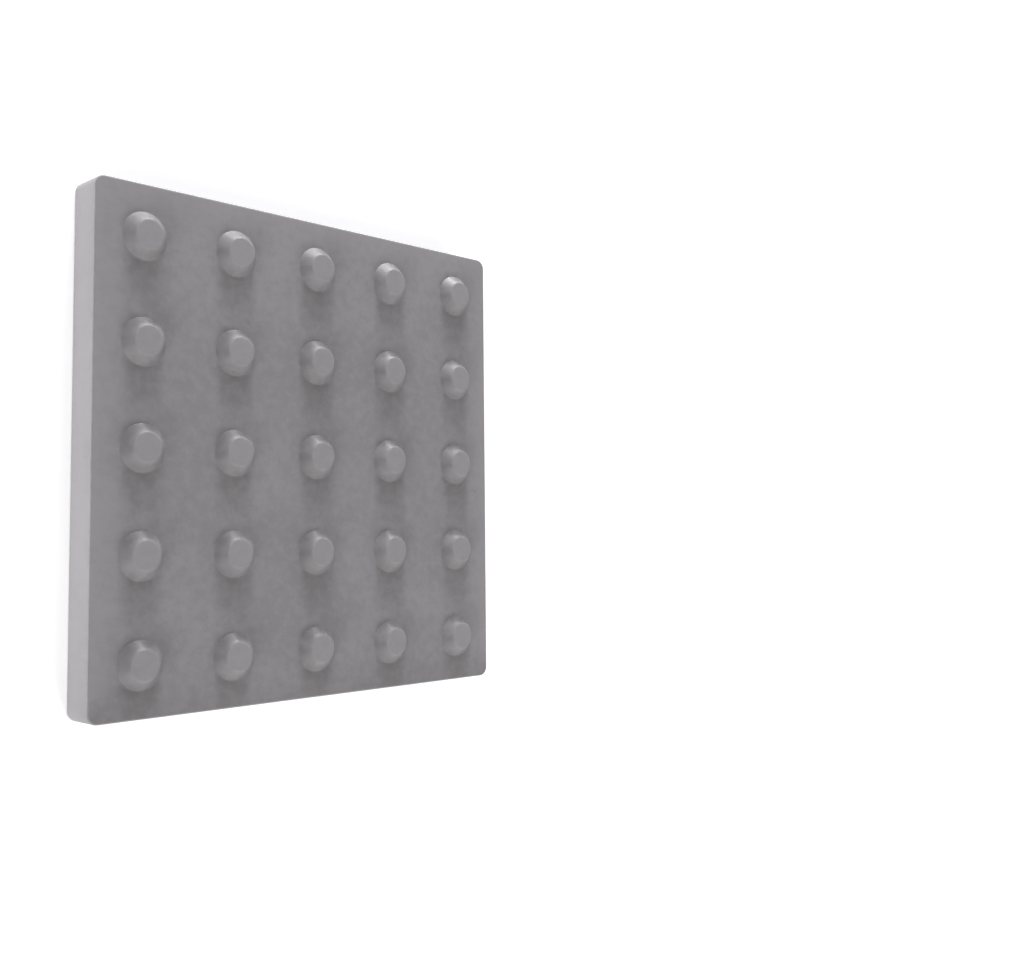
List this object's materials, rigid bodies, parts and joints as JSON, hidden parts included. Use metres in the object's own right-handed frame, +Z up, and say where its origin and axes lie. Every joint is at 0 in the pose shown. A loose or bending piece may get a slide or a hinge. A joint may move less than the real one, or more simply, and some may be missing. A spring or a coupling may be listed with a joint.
{
  "type": "tactile paving slab",
  "caption": "Square grey concrete paving slab with rounded corners and a square grid of raised truncated domes, a warning surface felt underfoot.",
  "frame": {"origin": "centre of the slab's flat underside", "axes": "+Z up, out of the domed face; X and Y along the slab's sides"},
  "size_m": [0.25, 0.25, 0.0255],
  "materials": {
    "grey_concrete": "matt, smooth mould-cast concrete"
  },
  "bodies": {
    "root": {"tactile_slab": "grey_concrete"}
  },
  "joints": []
}
